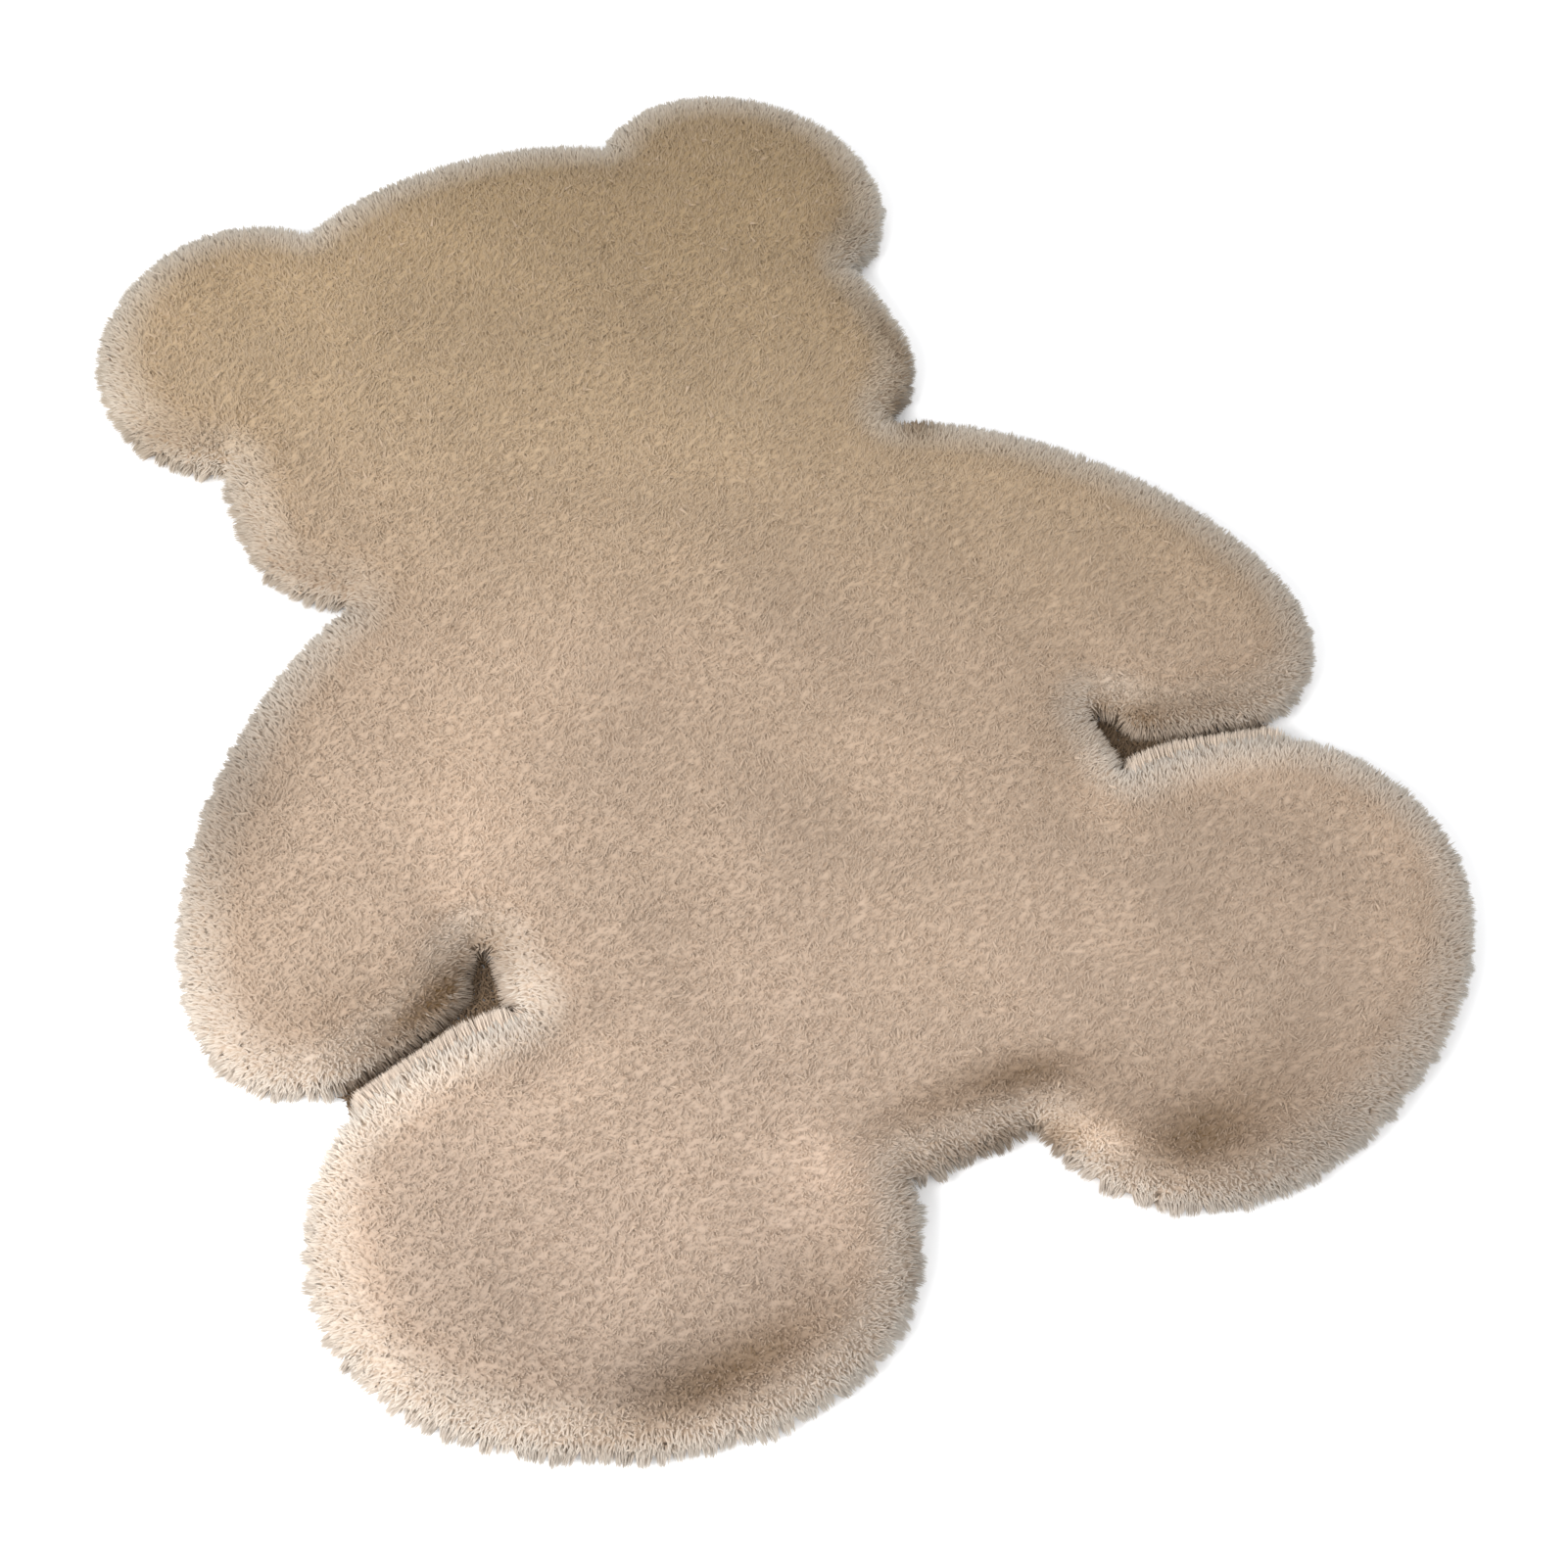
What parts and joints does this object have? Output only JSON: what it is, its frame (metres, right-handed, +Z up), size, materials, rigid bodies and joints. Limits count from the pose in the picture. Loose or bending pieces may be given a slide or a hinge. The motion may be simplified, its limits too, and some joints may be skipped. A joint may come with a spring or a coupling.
{
  "type": "bear shaped kids rug",
  "caption": "Plush floor rug for a child's room, cut in the outline of a sitting bear, with a thick rolled pile edge and a flat underside.",
  "frame": {"origin": "middle of the rug's box, on the floor, in the plane of the flat underside", "axes": "+Y from the feet to the head, +Z up through the pile, +X to the right when the head is at the top"},
  "size_m": [0.7562, 0.8999, 0.0358],
  "materials": {
    "fur": "dense short plush pile, matt, warm beige"
  },
  "bodies": {
    "root": {"fur_rug": "fur"}
  },
  "joints": []
}
